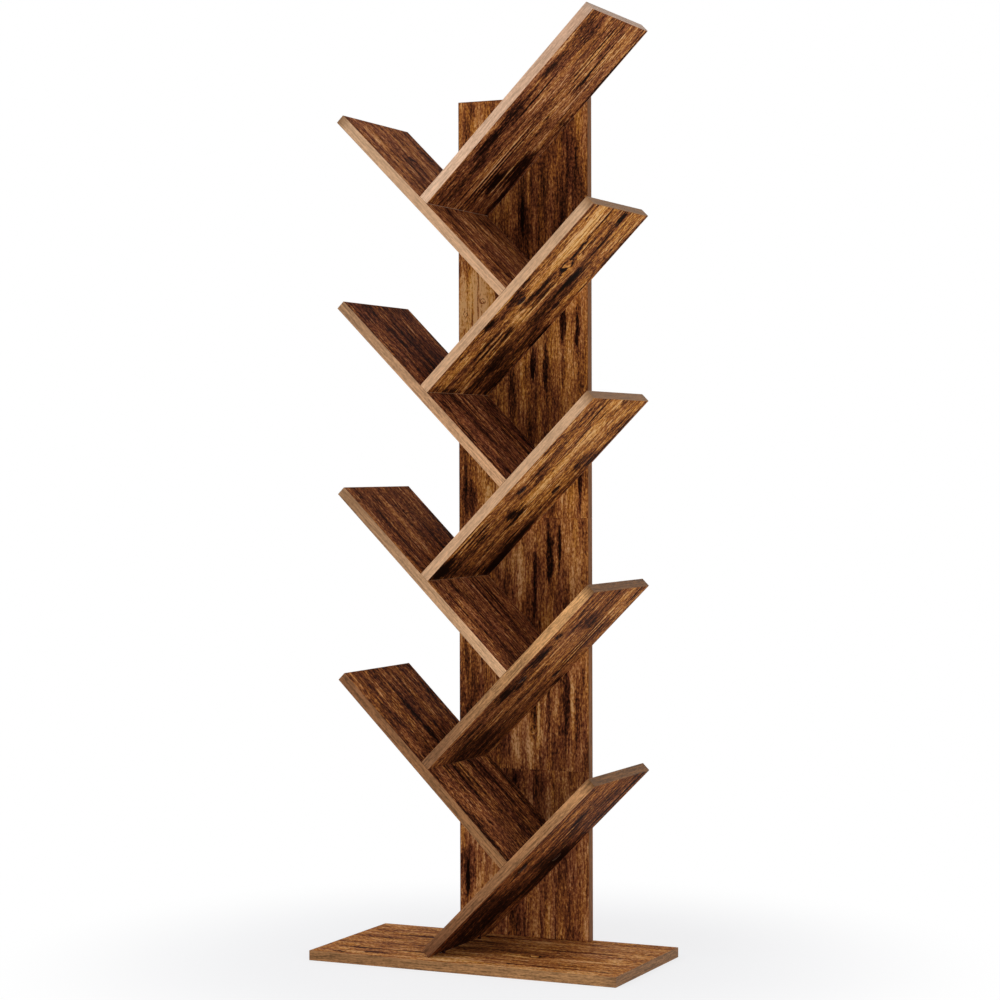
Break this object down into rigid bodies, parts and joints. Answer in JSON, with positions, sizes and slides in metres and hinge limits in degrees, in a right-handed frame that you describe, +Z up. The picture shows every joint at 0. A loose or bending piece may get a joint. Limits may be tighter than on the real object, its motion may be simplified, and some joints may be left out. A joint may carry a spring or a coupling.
{
  "type": "tree shaped bookshelf",
  "caption": "Free-standing bookshelf with slanted boards that branch left and right from a flat upright trunk on a base plate, making V-shaped compartments for books.",
  "frame": {"origin": "on the floor, under the middle of the base plate", "axes": "+Z up, -Y to the front where the compartments open, +X to the side that the top branch rises to"},
  "size_m": [0.5, 0.25, 1.4139],
  "materials": {
    "rustic_board": "satin rustic brown wood print on board",
    "dark_screw": "dark bronzed steel",
    "beech_dowel": "plain beech"
  },
  "bodies": {
    "root": {"base_plate": "rustic_board", "trunk_lower": "rustic_board", "trunk_middle": "rustic_board", "trunk_upper": "rustic_board", "right_branch_1": "rustic_board", "right_branch_2": "rustic_board", "right_branch_3": "rustic_board", "right_branch_4": "rustic_board", "right_branch_5": "rustic_board", "left_branch_1": "rustic_board", "left_branch_2": "rustic_board", "left_branch_3": "rustic_board", "left_branch_4": "rustic_board", "dowel_1_left": "beech_dowel", "dowel_1_right": "beech_dowel", "dowel_2_left": "beech_dowel", "dowel_2_right": "beech_dowel", "trunk_foot_screw_left": "dark_screw", "trunk_foot_screw_right": "dark_screw", "corner_screw_front": "dark_screw", "corner_screw_rear": "dark_screw", "right_branch_1_joint_screw_front": "dark_screw", "right_branch_1_joint_screw_rear": "dark_screw", "right_branch_2_joint_screw_front": "dark_screw", "right_branch_2_joint_screw_rear": "dark_screw", "right_branch_3_joint_screw_front": "dark_screw", "right_branch_3_joint_screw_rear": "dark_screw", "right_branch_4_joint_screw_front": "dark_screw", "right_branch_4_joint_screw_rear": "dark_screw", "left_branch_1_joint_screw_front": "dark_screw", "left_branch_1_joint_screw_rear": "dark_screw", "left_branch_2_joint_screw_front": "dark_screw", "left_branch_2_joint_screw_rear": "dark_screw", "left_branch_3_joint_screw_front": "dark_screw", "left_branch_3_joint_screw_rear": "dark_screw", "left_branch_4_joint_screw_front": "dark_screw", "left_branch_4_joint_screw_rear": "dark_screw", "right_branch_1_trunk_screw_lower": "dark_screw", "right_branch_1_trunk_screw_upper": "dark_screw", "right_branch_2_trunk_screw_lower": "dark_screw", "right_branch_2_trunk_screw_upper": "dark_screw", "right_branch_3_trunk_screw_lower": "dark_screw", "right_branch_3_trunk_screw_upper": "dark_screw", "right_branch_4_trunk_screw_lower": "dark_screw", "right_branch_4_trunk_screw_upper": "dark_screw", "right_branch_5_trunk_screw_lower": "dark_screw", "right_branch_5_trunk_screw_upper": "dark_screw", "left_branch_1_trunk_screw_lower": "dark_screw", "left_branch_1_trunk_screw_upper": "dark_screw", "left_branch_2_trunk_screw_lower": "dark_screw", "left_branch_2_trunk_screw_upper": "dark_screw", "left_branch_3_trunk_screw_lower": "dark_screw", "left_branch_3_trunk_screw_upper": "dark_screw", "left_branch_4_trunk_screw_lower": "dark_screw", "left_branch_4_trunk_screw_upper": "dark_screw"}
  },
  "joints": []
}
